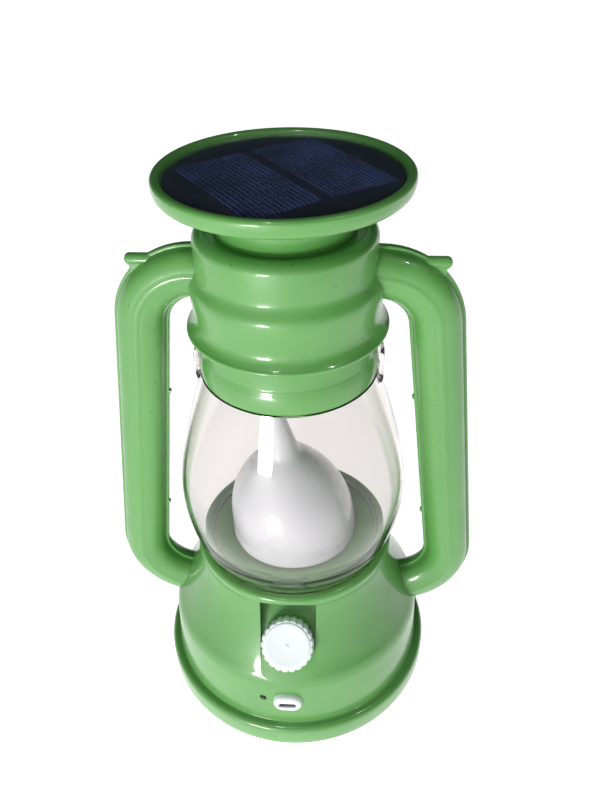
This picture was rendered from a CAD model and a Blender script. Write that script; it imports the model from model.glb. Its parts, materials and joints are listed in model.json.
"""Looks of the solar lantern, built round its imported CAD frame. Profiles are in millimetres."""

import json
import math

import bmesh
import bpy
from mathutils import Matrix, Vector


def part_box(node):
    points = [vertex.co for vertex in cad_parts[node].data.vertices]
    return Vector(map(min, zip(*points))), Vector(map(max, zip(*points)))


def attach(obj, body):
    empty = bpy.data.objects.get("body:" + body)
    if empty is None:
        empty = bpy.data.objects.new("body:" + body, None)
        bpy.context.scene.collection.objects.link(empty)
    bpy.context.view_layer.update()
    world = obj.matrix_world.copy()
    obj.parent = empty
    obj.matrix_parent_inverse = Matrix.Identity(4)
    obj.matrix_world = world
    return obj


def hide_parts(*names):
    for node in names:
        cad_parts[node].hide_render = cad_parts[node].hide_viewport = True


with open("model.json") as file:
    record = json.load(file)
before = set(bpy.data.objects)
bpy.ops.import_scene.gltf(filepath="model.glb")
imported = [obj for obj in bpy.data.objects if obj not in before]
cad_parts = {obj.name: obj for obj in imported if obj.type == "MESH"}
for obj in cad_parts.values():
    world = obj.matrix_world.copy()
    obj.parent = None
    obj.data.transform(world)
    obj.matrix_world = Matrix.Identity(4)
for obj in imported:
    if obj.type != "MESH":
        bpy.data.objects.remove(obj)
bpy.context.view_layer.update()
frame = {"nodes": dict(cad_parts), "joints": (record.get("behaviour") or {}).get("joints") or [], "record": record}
MM = 0.001
BODY = "lantern"
DIMMER = "dimmer"
TURNS = 144                      # facets round a lathed piece
OVAL_POINTS = 48
SHARP = 32                       # degrees above which an edge stays crisp


def top_of(node):
    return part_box(node)[1][2] / MM


def bottom_of(node):
    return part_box(node)[0][2] / MM


def radius_of(node):
    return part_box(node)[1][0] / MM


# Driving sizes, read from the frame
FOOT_R = radius_of("base_shell")
SEAT_TOP = top_of("base_shell")
GLOBE_R = radius_of("globe")
HOUSING_TOP = top_of("upper_housing")
FLANGE_R = radius_of("upper_housing")
DISH_R = radius_of("solar_dish")
TOTAL_H = top_of("solar_dish")
DIFFUSER_TOP = top_of("diffuser")
PANEL_R = radius_of("panel_board")
PANEL_Z = bottom_of("panel_board")
CELL_Z = top_of("panel_board")
ARM_DEPTH = -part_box("arm_right_front")[0][1] / MM
WALL = 2.2
JOINT = frame["joints"][0]


# ---------------------------------------------------------------- outline helpers

def bez(p, q, r, s, n):
    """Points of a cubic Bezier curve."""
    out = []
    for i in range(n + 1):
        t = i / n
        u = 1 - t
        w = (u ** 3, 3 * u * u * t, 3 * u * t * t, t ** 3)
        out.append(tuple(sum(k * c[a] for k, c in zip(w, (p, q, r, s))) for a in (0, 1)))
    return out


def arc(centre, radius, start, end, n):
    """Points of a circular arc, angles in degrees."""
    out = []
    for i in range(n + 1):
        a = math.radians(start + (end - start) * i / n)
        out.append((centre[0] + radius * math.cos(a), centre[1] + radius * math.sin(a)))
    return out


# ---------------------------------------------------------------- mesh helpers

def finish_mesh(name, bm, sharp=SHARP):
    """Turns a bmesh in millimetres into an object in metres, smooth with sharp creases."""
    bmesh.ops.remove_doubles(bm, verts=bm.verts, dist=1e-4)
    bmesh.ops.recalc_face_normals(bm, faces=bm.faces)
    bmesh.ops.scale(bm, vec=(MM, MM, MM), verts=bm.verts)
    mesh = bpy.data.meshes.new(name)
    bm.to_mesh(mesh)
    bm.free()
    mesh.shade_smooth()
    mesh.set_sharp_from_angle(angle=math.radians(sharp))
    obj = bpy.data.objects.new(name, mesh)
    bpy.context.collection.objects.link(obj)
    return obj


def lathe(name, outline, sharp=SHARP):
    """Turns a closed outline of (radius, height) about Z."""
    bm = bmesh.new()
    rings = []
    for i in range(TURNS):
        a = 2 * math.pi * i / TURNS
        rings.append([bm.verts.new((r * math.cos(a), r * math.sin(a), z)) for r, z in outline])
    for i in range(TURNS):
        here, there = rings[i], rings[(i + 1) % TURNS]
        for j in range(len(outline)):
            k = (j + 1) % len(outline)
            if outline[j][0] < 1e-6 and outline[k][0] < 1e-6:
                continue
            bm.faces.new((here[j], there[j], there[k], here[k]))
    bmesh.ops.remove_doubles(bm, verts=bm.verts, dist=1e-4)
    bmesh.ops.dissolve_degenerate(bm, edges=bm.edges, dist=1e-5)
    return finish_mesh(name, bm, sharp)


def loft_into(bm, rings, cap=True):
    """Skins a list of rings that have the same number of points."""
    verts = [[bm.verts.new(p) for p in ring] for ring in rings]
    n = len(rings[0])
    for low, high in zip(verts, verts[1:]):
        for i in range(n):
            bm.faces.new((low[i], low[(i + 1) % n], high[(i + 1) % n], high[i]))
    if cap:
        bm.faces.new(verts[0][::-1])
        bm.faces.new(verts[-1])


def loft(name, rings, cap=True, sharp=SHARP):
    bm = bmesh.new()
    loft_into(bm, rings, cap)
    return finish_mesh(name, bm, sharp)


def box_mesh(name, low, high):
    bm = bmesh.new()
    bmesh.ops.create_cube(bm, size=1)
    size = [b - a for a, b in zip(low, high)]
    centre = [(a + b) / 2 for a, b in zip(low, high)]
    bmesh.ops.scale(bm, vec=size, verts=bm.verts)
    bmesh.ops.translate(bm, vec=centre, verts=bm.verts)
    return finish_mesh(name, bm)


def boolean(target, tool, operation):
    """Applies a boolean of tool to target, and removes the tool."""
    mod = target.modifiers.new("cut", "BOOLEAN")
    mod.operation = operation
    mod.object = tool
    mod.solver = "EXACT"
    bpy.context.view_layer.update()
    result = bpy.data.meshes.new_from_object(target.evaluated_get(bpy.context.evaluated_depsgraph_get()))
    target.modifiers.clear()
    target.data = result
    bpy.data.objects.remove(tool)


def smooth(obj, sharp=SHARP):
    obj.data.shade_smooth()
    obj.data.set_sharp_from_angle(angle=math.radians(sharp))


def join(name, pieces):
    """Joins pieces into the first one."""
    bm = bmesh.new()
    for piece in pieces:
        bm.from_mesh(piece.data)
        bpy.data.objects.remove(piece)
    bmesh.ops.scale(bm, vec=(1 / MM, 1 / MM, 1 / MM), verts=bm.verts)
    return finish_mesh(name, bm)


def place(obj, matrix):
    """Moves a piece's mesh, given a matrix whose shift is in millimetres."""
    m = matrix.copy()
    m.translation = m.translation * MM
    obj.data.transform(m)
    return obj


# ---------------------------------------------------------------- materials

def principled(name, color, rough, **sockets):
    mat = bpy.data.materials.new(name)
    mat.use_nodes = True
    shader = mat.node_tree.nodes["Principled BSDF"]
    shader.inputs["Base Color"].default_value = (*color, 1)
    shader.inputs["Roughness"].default_value = rough
    for key, value in sockets.items():
        shader.inputs[key.replace("_", " ").title().replace("Ior", "IOR")].default_value = value
    return mat, mat.node_tree.nodes, mat.node_tree.links, shader


def noise(nodes, links, coords, scale, detail=2.0):
    tex = nodes.new("ShaderNodeTexNoise")
    tex.inputs["Scale"].default_value = scale
    tex.inputs["Detail"].default_value = detail
    links.new(coords, tex.inputs["Vector"])
    return tex.outputs["Fac"]


def ramp(nodes, links, value, low, high, first, last):
    node = nodes.new("ShaderNodeValToRGB")
    node.color_ramp.elements[0].position = low
    node.color_ramp.elements[1].position = high
    node.color_ramp.elements[0].color = (*first, 1)
    node.color_ramp.elements[1].color = (*last, 1)
    links.new(value, node.inputs["Fac"])
    return node.outputs["Color"]


def multiply(nodes, links, a, b):
    node = nodes.new("ShaderNodeMix")
    node.data_type = "RGBA"
    node.blend_type = "MULTIPLY"
    node.inputs["Factor"].default_value = 1
    links.new(a, node.inputs["A"])
    links.new(b, node.inputs["B"])
    return node.outputs["Result"]


def add_bump(nodes, links, shader, height, strength, distance):
    bump = nodes.new("ShaderNodeBump")
    bump.inputs["Strength"].default_value = strength
    bump.inputs["Distance"].default_value = distance
    links.new(height, bump.inputs["Height"])
    links.new(bump.outputs["Normal"], shader.inputs["Normal"])


def moulded(name, color, rough, mottle=0.06, specks=None, bump=0.03, **sockets):
    """Moulded plastic: slight mottling, uneven gloss, faint flow ripple and a few dark specks."""
    mat, nodes, links, shader = principled(name, color, rough, **sockets)
    coords = nodes.new("ShaderNodeTexCoord").outputs["Object"]
    light = [min(1, c * (1 + mottle)) for c in color]
    dark = [c * (1 - mottle) for c in color]
    tint = ramp(nodes, links, noise(nodes, links, coords, 28), 0.35, 0.65, dark, light)
    if specks:
        cells = nodes.new("ShaderNodeTexVoronoi")
        cells.inputs["Scale"].default_value = specks
        links.new(coords, cells.inputs["Vector"])
        spots = ramp(nodes, links, cells.outputs["Distance"], 0.045, 0.075, (0.35, 0.38, 0.3), (1, 1, 1))
        tint = multiply(nodes, links, tint, spots)
    links.new(tint, shader.inputs["Base Color"])
    patches = noise(nodes, links, coords, 90, 4)
    gloss = ramp(nodes, links, patches, 0.3, 0.7, [rough * 0.8] * 3, [rough * 1.25] * 3)
    links.new(gloss, shader.inputs["Roughness"])
    add_bump(nodes, links, shader, noise(nodes, links, coords, 160, 1), bump, 0.0004)
    return mat


def clear_moulding(name, color, rough, ior, ripple):
    """Clear plastic with slightly uneven surfaces."""
    mat, nodes, links, shader = principled(name, color, rough, transmission_weight=1.0, ior=ior)
    coords = nodes.new("ShaderNodeTexCoord").outputs["Object"]
    tint = ramp(nodes, links, noise(nodes, links, coords, 40), 0.4, 0.6, color, [c * 0.985 for c in color])
    links.new(tint, shader.inputs["Base Color"])
    add_bump(nodes, links, shader, noise(nodes, links, coords, 45, 1), ripple, 0.001)
    let_through = nodes.new("ShaderNodeBsdfTransparent")
    let_through.inputs["Color"].default_value = (*color, 1)
    mix = nodes.new("ShaderNodeMixShader")
    links.new(nodes.new("ShaderNodeLightPath").outputs["Is Shadow Ray"], mix.inputs["Fac"])
    links.new(shader.outputs["BSDF"], mix.inputs[1])
    links.new(let_through.outputs["BSDF"], mix.inputs[2])
    links.new(mix.outputs["Shader"], nodes["Material Output"].inputs["Surface"])
    return mat


def metal(name, color, rough):
    mat, nodes, links, shader = principled(name, color, rough, metallic=1.0)
    coords = nodes.new("ShaderNodeTexCoord").outputs["Object"]
    tint = ramp(nodes, links, noise(nodes, links, coords, 300, 5), 0.3, 0.7, [c * 0.8 for c in color], color)
    links.new(tint, shader.inputs["Base Color"])
    add_bump(nodes, links, shader, noise(nodes, links, coords, 900, 2), 0.15, 0.0001)
    return mat


def cell_material():
    """Blue silicon with fine contact fingers across each strip."""
    mat, nodes, links, shader = principled("cell_blue", (0.008, 0.014, 0.04), 0.25, coat_weight=0.5)
    coords = nodes.new("ShaderNodeTexCoord").outputs["Object"]
    grain = noise(nodes, links, coords, 60, 3)
    tint = ramp(nodes, links, grain, 0.35, 0.7, (0.007, 0.011, 0.030), (0.020, 0.028, 0.085))
    turn = nodes.new("ShaderNodeMapping")
    turn.inputs["Rotation"].default_value = (0, 0, math.radians(-CELL_TURN))
    links.new(coords, turn.inputs["Vector"])
    wave = nodes.new("ShaderNodeTexWave")
    wave.bands_direction = "X"
    wave.inputs["Scale"].default_value = 180
    links.new(turn.outputs["Vector"], wave.inputs["Vector"])
    lines = ramp(nodes, links, wave.outputs["Fac"], 0.60, 0.9, (0.7, 0.7, 0.7), (4.0, 3.8, 3.0))
    links.new(multiply(nodes, links, tint, lines), shader.inputs["Base Color"])
    return mat


CELL_TURN = 36
GREEN = (0.096, 0.300, 0.064)
green = moulded("green_plastic", GREEN, 0.40, mottle=0.04, specks=190, bump=0.02,
                coat_weight=0.6, coat_roughness=0.09)
white = moulded("white_plastic", (0.78, 0.84, 0.85), 0.33, mottle=0.015)
frosted = moulded("diffuser_plastic", (0.50, 0.53, 0.565), 0.30, mottle=0.02, bump=0.006,
                  coat_weight=0.7, coat_roughness=0.05)
clear = clear_moulding("clear_plastic", (0.905, 0.875, 0.865), 0.02, 1.45, 0.10)
resin = clear_moulding("panel_resin", (0.9, 0.93, 0.98), 0.05, 1.33, 0.03)
lens = clear_moulding("led_lens", (0.75, 0.8, 0.72), 0.1, 1.45, 0.05)
panel_black = moulded("panel_black", (0.008, 0.009, 0.011), 0.4, mottle=0.2)
cell_blue = cell_material()
steel = metal("steel", (0.62, 0.62, 0.64), 0.3)
phosphor = moulded("led_yellow", (0.8, 0.65, 0.15), 0.4)
mask_white = moulded("board_white", (0.75, 0.76, 0.74), 0.4)
mask_green = moulded("board_green", (0.02, 0.16, 0.05), 0.35)
black = moulded("black_plastic", (0.02, 0.02, 0.022), 0.45)
nylon = moulded("shaft_nylon", (0.62, 0.62, 0.58), 0.5)
sleeve = moulded("battery_sleeve", (0.03, 0.14, 0.34), 0.28)
red_wire = moulded("red_lead", (0.4, 0.015, 0.012), 0.45)
grey_wire = moulded("grey_lead", (0.28, 0.28, 0.29), 0.45)
BY_SLOT = {
    "green_plastic": green, "white_plastic": white, "diffuser_plastic": frosted, "clear_plastic": clear,
    "panel_black": panel_black, "cell_blue": cell_blue, "panel_resin": resin, "steel": steel,
    "led_yellow": phosphor, "led_lens": lens, "board_white": mask_white, "board_green": mask_green,
    "black_plastic": black, "shaft_nylon": nylon, "battery_sleeve": sleeve, "red_lead": red_wire,
    "grey_lead": grey_wire,
}


def present(obj, slot, *nodes, body=BODY):
    """Gives a new piece its finish and its body, and hides the CAD nodes that it stands for."""
    obj.data.materials.clear()
    obj.data.materials.append(BY_SLOT[slot])
    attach(obj, body)
    if nodes:
        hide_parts(*nodes)
    return obj


# ---------------------------------------------------------------- camera and light

# name, place, aim (metres), width, watts
LIGHTS = (
    ("front", (-0.30, -0.74, 0.05), (0, 0, 0.10), 0.20, 4.7),    # low, so the dome above stays dark
    ("key", (-0.13, -0.48, 0.97), (0, 0, 0.14), 0.07, 1.3),
    ("glint", (0.47, -0.17, 0.97), (0, 0, 0.10), 0.05, 0.9),
)
WORLD_POWER = 0.75
FLOOR_GLOW = 0.95                # a lit white sweep


def set_camera():
    """Camera in front, above and slightly to the right, as the object is seen."""
    turn, pitch, roll = math.radians(5.3 - 0.892), math.radians(36.86), math.radians(-1.267)
    place_turn = math.radians(5.3)
    distance, height = 0.2374, 0.32335
    forward = Vector((-math.sin(turn) * math.cos(pitch), math.cos(turn) * math.cos(pitch), -math.sin(pitch)))
    side = Vector((math.cos(turn), math.sin(turn), 0))
    up = side.cross(forward)
    right = side * math.cos(roll) + up * math.sin(roll)
    upward = up * math.cos(roll) - side * math.sin(roll)
    cam = bpy.data.objects.new("camera", bpy.data.cameras.new("camera"))
    bpy.context.collection.objects.link(cam)
    rows = Matrix((right, upward, -forward)).transposed().to_4x4()
    rows.translation = (distance * math.sin(place_turn), -distance * math.cos(place_turn), height)
    cam.matrix_world = rows
    cam.data.sensor_fit = "VERTICAL"
    cam.data.sensor_height = 36
    cam.data.lens = 33.52
    cam.data.clip_start = 0.01
    bpy.context.scene.camera = cam


def area_light(name, at, aim, size, power):
    """Round soft box at a place in metres, turned towards aim."""
    data = bpy.data.lights.new(name, "AREA")
    data.shape = "DISK"
    data.size = size
    data.energy = power
    obj = bpy.data.objects.new(name, data)
    bpy.context.collection.objects.link(obj)
    obj.location = at
    obj.rotation_euler = (Vector(aim) - Vector(at)).to_track_quat("-Z", "Y").to_euler()


def set_stage():
    bpy.ops.mesh.primitive_plane_add(size=30)
    floor = bpy.context.active_object
    floor.name = "floor"
    mat, nodes, links, shader = principled("floor", (0.9, 0.9, 0.9), 0.8)
    coords = nodes.new("ShaderNodeTexCoord").outputs["Object"]
    tone = ramp(nodes, links, noise(nodes, links, coords, 3), 0.3, 0.7, [0.89] * 3, [0.91] * 3)
    links.new(tone, shader.inputs["Base Color"])
    shader.inputs["Emission Color"].default_value = (1, 1, 1, 1)
    shader.inputs["Emission Strength"].default_value = FLOOR_GLOW
    floor.data.materials.append(mat)
    set_world()
    for name, at, aim, size, power in LIGHTS:
        area_light(name, at, aim, size, power)
    bpy.context.scene.view_settings.view_transform = "Standard"


def set_world():
    """Studio surround: bright in front, dim and cool overhead and behind."""
    world = bpy.data.worlds.new("studio")
    world.use_nodes = True
    nodes, links = world.node_tree.nodes, world.node_tree.links
    toward = nodes.new("ShaderNodeVectorMath")
    toward.operation = "DOT_PRODUCT"
    toward.inputs[1].default_value = (-0.25, -0.78, -0.57)
    links.new(nodes.new("ShaderNodeTexCoord").outputs["Generated"], toward.inputs[0])
    shift = nodes.new("ShaderNodeMath")
    shift.operation = "MULTIPLY_ADD"
    shift.inputs[1].default_value = 0.5
    shift.inputs[2].default_value = 0.5
    links.new(toward.outputs["Value"], shift.inputs[0])
    color = ramp(nodes, links, shift.outputs[0], 0.50, 0.98, (0.02, 0.03, 0.04), (1.7, 1.68, 1.65))
    links.new(color, nodes["Background"].inputs["Color"])
    nodes["Background"].inputs["Strength"].default_value = WORLD_POWER
    bpy.context.scene.world = world


# ---------------------------------------------------------------- base

BASE_R = FOOT_R - 4.2
BEND_R = BASE_R - 1.1
FOOT_H = 10.5
BORE_R = 40.2
DECK_Z = 73
DECK_UNDER = 71
DECK_HOLE_R = 26
KNOB_TILT = math.asin(JOINT["axis"][2])
POCKET = Vector(JOINT["pos_m"]) / MM
POCKET_W, POCKET_LOW, POCKET_HIGH = 23.4, 22, 18.2

foot_outline = (
    [(FOOT_R - 0.5, 0), (FOOT_R - 0.12, 0.15), (FOOT_R, 0.6), (FOOT_R, 4)]
    + arc((FOOT_R - 2.8, FOOT_H - 2.8), 2.8, 0, 80, 10)
    + [(BASE_R + 0.9, FOOT_H), (BASE_R + 0.3, FOOT_H + 0.25), (BASE_R + 0.05, FOOT_H + 0.9)]
)
dome_outline = (
    [(BASE_R, 14)]
    + bez((BEND_R, 33), (BEND_R - 0.2, 35.6), (56.3, 37.4), (55.3, 39), 8)
    + bez((54.9, 39.6), (50.4, 46.6), (44.5, 59.5), (43.4, 71), 22)
    + [(43.15, 71.5), (43.25, 72.1)]
    + arc((41.3, SEAT_TOP - 2.1), 2.1, 0, 90, 9)
    + [(BORE_R + 0.5, SEAT_TOP), (BORE_R, SEAT_TOP - 0.5)]
)


def knob_matrix(lift=0):
    """Frame of the knob's axis: local Z points outwards and up."""
    m = Matrix.Rotation(math.pi / 2 - KNOB_TILT, 4, "X")
    m.translation = POCKET + m.to_3x3() @ Vector((0, 0, lift))
    return m


def pocket_box(grow):
    low = (-POCKET_W / 2 - grow, -POCKET_LOW - grow, -grow)
    high = (POCKET_W / 2 + grow, POCKET_HIGH + grow, 30)
    return place(box_mesh("pocket", low, high), knob_matrix())


def oval(w, h):
    """Outline with round ends, in the X-Z plane seen from the front."""
    out = []
    for i in range(OVAL_POINTS):
        a = 2 * math.pi * i / OVAL_POINTS
        side = (w - h) / 2 * (1 if math.cos(a) >= 0 else -1)
        out.append((side + h / 2 * math.cos(a), h / 2 * math.sin(a)))
    return out


def oval_ring(w, h, depth):
    """One ring of an oval on the port's axis, depth outwards from its seat."""
    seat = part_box("port_bezel")[0][1] / MM + 2.9
    z = (bottom_of("port_bezel") + top_of("port_bezel")) / 2
    return [(x, seat - depth, z + y) for x, y in oval(w, h)]


def make_base():
    inner = list(reversed(bez((53.3, 37.9), (48.6, 45.4), (42.4, 58.6), (41.2, DECK_UNDER), 14)))
    outline = (
        [(60, 0)] + foot_outline + dome_outline
        + [(BORE_R, DECK_Z), (DECK_HOLE_R, DECK_Z), (DECK_HOLE_R, DECK_UNDER)] + inner
        + [(BEND_R - WALL, 33), (BASE_R - WALL, 5), (BASE_R - WALL, 2.5), (60, 2.5)]
    )
    base = lathe("base_moulding", outline)
    skin = pocket_box(WALL)
    envelope = [(0, 0), (FOOT_R - 1, 0)] + foot_outline[3:-3]
    envelope += [(r - 0.05, z) for r, z in dome_outline[:-2]]
    envelope += [(BORE_R + 0.6, DECK_Z + 1), (BORE_R + 0.4, DECK_Z - 0.4), (0, DECK_Z - 0.4)]
    boolean(skin, lathe("envelope", envelope), "INTERSECT")
    boolean(base, skin, "UNION")
    boolean(base, pocket_box(0), "DIFFERENCE")
    boolean(base, loft("port_hole", [oval_ring(11, 7.6, -8), oval_ring(11, 7.6, 8)]), "DIFFERENCE")
    led = Vector(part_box("charge_led")[0]) + Vector(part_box("charge_led")[1])
    led = led / 2 / MM
    out = Vector((led.x, led.y, 0)).normalized()
    across = Vector((-out.y, out.x, 0))
    hole = []
    for d in (-8, 8):
        hole.append([tuple(led + out * d + across * 1.6 * math.cos(a) + Vector((0, 0, 1.6 * math.sin(a))))
                     for a in (2 * math.pi * i / 24 for i in range(24))])
    boolean(base, loft("light_hole", hole), "DIFFERENCE")
    smooth(base, 30)
    present(base, "green_plastic", "base_shell")


def make_knob():
    """Fluted knob with a shallow dished face, hollow underneath round its nut."""
    flutes, per = 21, 10
    n = flutes * per
    height, outer = 8.0, 11.0

    def ring(radius, z, depth):
        points = []
        for i in range(n):
            a = 2 * math.pi * i / n
            wave = max(0.0, math.cos(flutes * a)) ** 1.5
            r = radius - depth * wave
            points.append((r * math.cos(a), r * math.sin(a), z))
        return points
    rings = [ring(0.02, 5.2, 0), ring(3.05, 5.2, 0), ring(3.05, 3.6, 0), ring(8.4, 3.6, 0), ring(8.4, 0, 0),
             ring(outer - 0.5, 0, 0.5), ring(outer - 0.1, 0.25, 0.62), ring(outer, 0.7, 0.65),
             ring(outer, height - 1.6, 0.65), ring(outer - 0.15, height - 1.0, 0.62),
             ring(outer - 0.6, height - 0.6, 0.4)]
    for radius, z in arc((outer - 2.1, height - 1.1), 1.1, 25, 90, 6):
        rings.append(ring(radius, z, 0))
    rings += [ring(outer - 3.2, height - 0.05, 0), ring(outer - 4.2, height - 0.18, 0),
              ring(3, height - 0.22, 0), ring(0.9, height - 0.22, 0),
              ring(0.7, height - 0.05, 0), ring(0.02, height, 0)]
    knob = loft("knob_cap", rings, cap=True, sharp=40)
    place(knob, knob_matrix(0.6))
    present(knob, "white_plastic", "knob", body=DIMMER)


def make_port():
    """Oval frame with a soft front edge round the slot."""
    w, h, proud = 12.4, 9.0, 2.5
    rings = [oval_ring(8, 2.9, -3), oval_ring(10.8, 7.4, -3), oval_ring(10.8, 7.4, 0), oval_ring(w, h, 0)]
    for inset, depth in arc((1.7, proud + 0.4 - 1.7), 1.7, 180, 90, 8):
        rings.append(oval_ring(w - 2 * inset, h - 2 * inset, depth))
    rings += [oval_ring(8.6, 3.5, proud + 0.4), oval_ring(8.2, 3.1, proud + 0.3), oval_ring(8, 2.9, proud),
              oval_ring(8, 2.9, -3)]
    present(loft("port_frame", rings, cap=False), "white_plastic", "port_bezel")


# ---------------------------------------------------------------- lamp

GLOBE_FOOT_R = 39.8
GLOBE_WALL = 1.8
FLOOR_Z, FLOOR_T = 74.4, 2
MOUTH_Z, MOUTH_R = 163.3, 34
LEAN = 0.115


def make_globe():
    gr, w = GLOBE_R, GLOBE_WALL
    outer = (
        [(GLOBE_FOOT_R, DECK_Z), (GLOBE_FOOT_R, SEAT_TOP - 0.6)]
        + bez((GLOBE_FOOT_R + 0.2, SEAT_TOP), (44.6, 83.5), (gr, 95), (gr, 107), 26)
        + bez((gr, 107), (gr, 124), (36.4, 153), (MOUTH_R, MOUTH_Z), 34)[1:]
    )
    inner = (
        [(GLOBE_FOOT_R - 2.4, DECK_Z), (GLOBE_FOOT_R - 2.4, FLOOR_Z), (DECK_HOLE_R, FLOOR_Z),
         (DECK_HOLE_R, FLOOR_Z + FLOOR_T), (GLOBE_FOOT_R - 4, FLOOR_Z + FLOOR_T)]
        + bez((GLOBE_FOOT_R - 2.6, FLOOR_Z + FLOOR_T + 0.8), (42.6, 84.5), (gr - w, 95.5), (gr - w, 107), 22)
        + bez((gr - w, 107), (gr - w, 123.6), (36.4 - w, 152.6), (MOUTH_R - w, MOUTH_Z), 28)[1:]
    )
    globe = lathe("globe_shell", outer + list(reversed(inner)))
    clip = [(33.2, 157.5), (35.6, 158.2), (36.1, 160), (36.2, 163), (36.2, 169.6), (35.9, 170.8),
            (35.2, 171.3), (34.5, 171.4), (34.5, MOUTH_Z + 0.4), (33.2, MOUTH_Z - 0.1)]
    pieces = [globe]
    for side in (0, 180):
        rings = []
        for i in range(9):
            a = math.radians(side - 7 + 14 * i / 8)
            rings.append([(r * math.cos(a), r * math.sin(a), z) for r, z in clip])
        pieces.append(loft("clip", rings))
    present(join("globe_clear", pieces), "clear_plastic", "globe")


def diffuser_outline(inset):
    r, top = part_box("diffuser")[1][1] / MM - inset, DIFFUSER_TOP - 2 * inset
    body = bez((r, 82), (r, 102), (17 - inset, 110.5), (8.5 - inset, 119), 26)
    tip = (max(1.4 - inset, 0.1), top - 0.5)
    neck = bez((8.5 - inset, 119), (6.3 - inset, 121.2), (5.4 - inset, 133), tip, 16)
    return body + neck[1:] + [(max(0.8 - inset, 0.05), top - 0.1), (0, top)]


def make_diffuser():
    foot_z, r = FLOOR_Z + FLOOR_T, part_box("diffuser")[1][1] / MM
    outline = (
        [(r - 1.3, foot_z + 0.1), (r + 0.25, foot_z + 0.1), (r + 0.3, foot_z + 1.4), (r, foot_z + 1.9)]
        + diffuser_outline(0) + list(reversed(diffuser_outline(1.3)))
    )
    piece = lathe("diffuser_flame", outline, sharp=45)
    for v in piece.data.vertices:
        v.co.x -= LEAN * max(0, v.co.z - 82 * MM)
    present(piece, "diffuser_plastic", "diffuser")


# ---------------------------------------------------------------- upper housing, collar and dish

HOUSING_R = 32.2
NECK_R = 32.6
COLLAR_TOP = 181
NECK_Z = 218.9
housing_outline = (
    [(NECK_R, COLLAR_TOP), (FLANGE_R - 1.3, 181.9)]
    + arc((FLANGE_R - 1, 183.0), 1, -90, 70, 10)
    + bez((FLANGE_R - 1, 184.3), (35, 185.4), (34.2, 186.6), (34.1, 188.6), 10)
    + bez((34.15, 190), (34.3, 194), (34.9, 197), (34.8, 199.6), 8)
    + bez((34.8, 199.6), (34.7, 202.2), (32.6, 203.4), (HOUSING_R - 0.1, 206.2), 12)
    + [(HOUSING_R, 208)]
    + arc((HOUSING_R - 3.6, HOUSING_TOP - 3.6), 3.6, 0, 90, 12)
    + [(28.2, HOUSING_TOP), (27.75, HOUSING_TOP - 0.25), (27.6, NECK_Z)]
)


def make_housing():
    inner = [(0, NECK_Z), (0, NECK_Z - WALL), (27.4, NECK_Z - WALL), (30, 214), (30, 205.4), (32.3, 200.2),
             (31.9, 188.4), (34.2, 184.6), (30.5, 183.6), (30.5, COLLAR_TOP)]
    present(lathe("housing_moulding", housing_outline + inner), "green_plastic", "upper_housing")


def make_collar():
    r = 34
    outline = (
        [(31.9, MOUTH_Z + 0.2), (MOUTH_R - 0.6, MOUTH_Z + 0.2)]
        + bez((r - 0.3, 164), (r + 0.15, 165.5), (r, 169.5), (r - 0.8, 171.6), 10)
        + bez((r - 0.9, 171.9), (33.0, 172.6), (32.7, 172.9), (NECK_R, 173.6), 5)
        + [(NECK_R, COLLAR_TOP - 0.02), (30.3, COLLAR_TOP), (30.3, 187.5), (28.3, 187.5), (28.3, 167.2),
           (0, 167.2), (0, 165.2), (30, 165.2), (30, 161.6), (31.8, 161.6)]
    )
    present(lathe("collar_ring", outline), "green_plastic", "globe_collar")


def make_dish():
    neck = 24.5
    outline = (
        [(neck - WALL, NECK_Z), (neck - 0.3, NECK_Z), (neck, NECK_Z + 0.6)]
        + bez((neck, 226), (neck + 0.2, 229.5), (neck + 2.4, 230.2), (31, 230.8), 12)
        + bez((39.4, 232.5), (41.2, 232.9), (42.2, 233.4), (42.8, 234.6), 8)
        + [(DISH_R - 0.05, 236.2)]
        + arc((DISH_R - 1.5, TOTAL_H - 1.5), 1.5, 0, 90, 10)
        + bez((PANEL_R + 1.9, TOTAL_H), (PANEL_R + 1.0, TOTAL_H - 0.1), (PANEL_R + 0.4, TOTAL_H - 0.5),
              (PANEL_R + 0.25, TOTAL_H - 1.3), 6)
        + [(PANEL_R + 0.2, PANEL_Z), (0, PANEL_Z), (0, PANEL_Z - WALL), (neck - WALL, PANEL_Z - WALL)]
    )
    present(lathe("dish_moulding", outline), "green_plastic", "solar_dish")


def make_panel():
    """Cell strips in two blocks, under a domed pour of clear resin."""
    strips, block_w, block_l, gap, seam = 10, 26.0, 50.0, 3.0, 0.5
    strip = (block_l - seam * (strips - 1)) / strips
    chip = 0.25                  # cut corner of a strip
    bm = bmesh.new()
    for side in (-1, 1):
        for i in range(strips):
            y = -block_l / 2 + i * (strip + seam)
            x0 = side * (gap + block_w) / 2 - block_w / 2
            x1, y1 = x0 + block_w, y + strip
            ring = [(x0 + chip, y), (x1 - chip, y), (x1, y + chip), (x1, y1 - chip),
                    (x1 - chip, y1), (x0 + chip, y1), (x0, y1 - chip), (x0, y + chip)]
            loft_into(bm, [[(p[0], p[1], z) for p in ring] for z in (CELL_Z, CELL_Z + 0.25)])
    cells = finish_mesh("cell_strips", bm)
    place(cells, Matrix.Rotation(math.radians(CELL_TURN), 4, "Z"))
    present(cells, "cell_blue", "solar_cells")
    top = TOTAL_H - 1.3
    dome = bez((PANEL_R, top - 0.6), (PANEL_R - 1, top + 0.2), (24, top + 0.9), (0, top + 1.2), 18)
    pour = lathe("resin_pour", [(0, CELL_Z + 0.3), (PANEL_R, CELL_Z + 0.3)] + dome)
    present(pour, "panel_resin", "panel_resin")


# ---------------------------------------------------------------- arms

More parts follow.
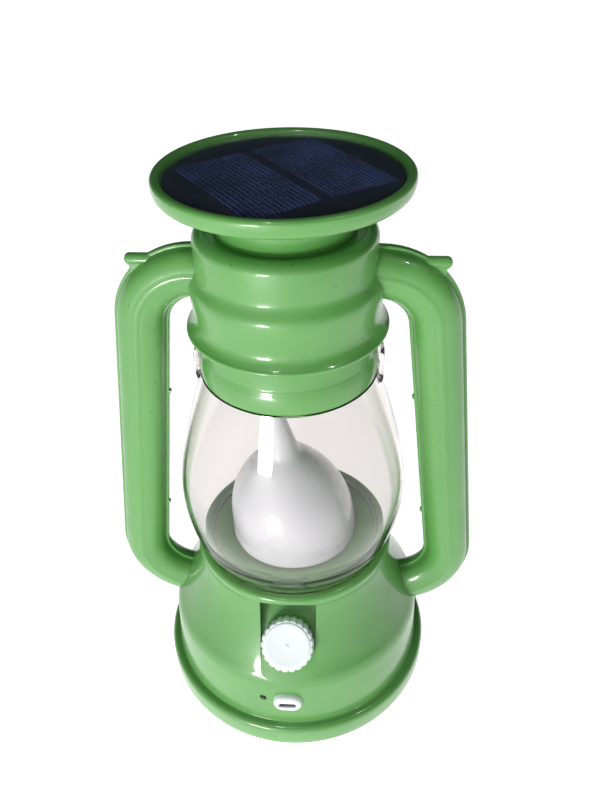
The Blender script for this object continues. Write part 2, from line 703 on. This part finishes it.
SPLAY = 7.2
BEND_C, BEND_RAD = (32.8, 181.0), 21.7
RUN = 117.5
ELBOW_RAD = 24
ARM_W = 20.4
FLANGE_T = 1.3
LUG_Z, LUG_X, LUG_RAD = 206.4, 57.6, 2.3


def arm_path():
    """Centreline from the housing to the base: (x, z, direction across the arm)."""
    points = [(30.0, BEND_C[1] + BEND_RAD, 90.0)]
    for i in range(15):
        a = 90 - (90 - SPLAY) * i / 14
        x, z = arc(BEND_C, BEND_RAD, a, a, 1)[0]
        points.append((x, z, a))
    x0, z0, _ = points[-1]
    down = math.radians(SPLAY - 90)
    for i in range(1, 13):
        d = RUN * i / 12
        points.append((x0 + d * math.cos(down), z0 + d * math.sin(down), SPLAY))
    x1, z1, _ = points[-1]
    side = math.radians(SPLAY)
    centre = (x1 - ELBOW_RAD * math.cos(side), z1 - ELBOW_RAD * math.sin(side))
    for i in range(1, 19):
        a = SPLAY - (90 + SPLAY) * i / 18
        x, z = arc(centre, ELBOW_RAD, a, a, 1)[0]
        points.append((x, z, a))
    return points


def arm_section():
    """Half section: (across, depth), flange, rounded face with a low ridge, flange, flat parting face."""
    half, curve = ARM_W / 2, ARM_W / 2 - 1.3
    section = [(half, 0), (half, FLANGE_T - 0.3), (half - 0.3, FLANGE_T), (curve + 0.25, FLANGE_T)]
    ridge = 0.3
    for i in range(1, 40):
        a = math.pi * i / 40
        x, y = curve * math.cos(a), FLANGE_T + (ARM_DEPTH - ridge - FLANGE_T) * math.sin(a) ** 0.85
        if -0.4 < x < 1.6:
            y += ridge
        section.append((x, y))
    section += [(-curve - 0.25, FLANGE_T), (-half + 0.3, FLANGE_T), (-half, FLANGE_T - 0.3), (-half, 0)]
    return section + [(-half * (1 - 2 * k / 6), 0) for k in range(1, 6)]


def make_arm(side, face, node):
    rings = []
    for x, z, a in arm_path():
        ux, uz = math.cos(math.radians(a)), math.sin(math.radians(a))
        rings.append([(side * (x + ux * s), -face * d, z + uz * s) for s, d in arm_section()])
    bm = bmesh.new()
    loft_into(bm, rings)
    tip = [(44, LUG_RAD), (LUG_X - 1.9, LUG_RAD)]
    tip += [(LUG_X - 1.9 + 1.9 * math.sin(t), LUG_RAD * math.cos(t)) for t in (0.35, 0.7, 1.0, 1.25, 1.45)]
    pegs = []
    for x, r in tip:
        pegs.append([(side * x, -face * r * math.sin(b), LUG_Z + r * math.cos(b))
                     for b in (math.pi * k / 12 for k in range(13))])
    loft_into(bm, pegs)
    web = [(43, LUG_Z), (55.8, LUG_Z), (55.6, 202.6), (54.6, 199.8), (48, 202)]
    loft_into(bm, [[(side * x, -face * d, z) for x, z in web] for d in (0.0, 1.9)])
    nub_down = math.radians(SPLAY - 90)
    x0, z0 = arc(BEND_C, BEND_RAD, SPLAY, SPLAY, 1)[0]
    for d in (34, 96):
        cx = x0 + d * math.cos(nub_down) - (ARM_W / 2) * math.cos(math.radians(SPLAY))
        cz = z0 + d * math.sin(nub_down) - (ARM_W / 2) * math.sin(math.radians(SPLAY))
        ring = [(math.cos(k * math.pi / 6) * 0.8, math.sin(k * math.pi / 6) * 0.8) for k in range(12)]
        loft_into(bm, [[(side * (cx + 0.6 - o), -face * (0.65 + v * 0.7), cz + u) for u, v in ring]
                       for o in (0, 1.3)])
    present(finish_mesh(node + "_moulding", bm, 28), "green_plastic", node)


# ---------------------------------------------------------------- build

set_camera()
set_stage()
make_base()
make_knob()
make_port()
make_globe()
make_diffuser()
make_housing()
make_collar()
make_dish()
make_panel()
for side_name, side_sign in (("left", -1), ("right", 1)):
    for face_name, face_sign in (("front", 1), ("back", -1)):
        make_arm(side_sign, face_sign, f"arm_{side_name}_{face_name}")
for row in frame["record"]["subparts"]:
    node_object = frame["nodes"][row["node"]]
    node_object.data.materials.clear()
    node_object.data.materials.append(BY_SLOT[row["material_slot"]])
bpy.context.view_layer.update()
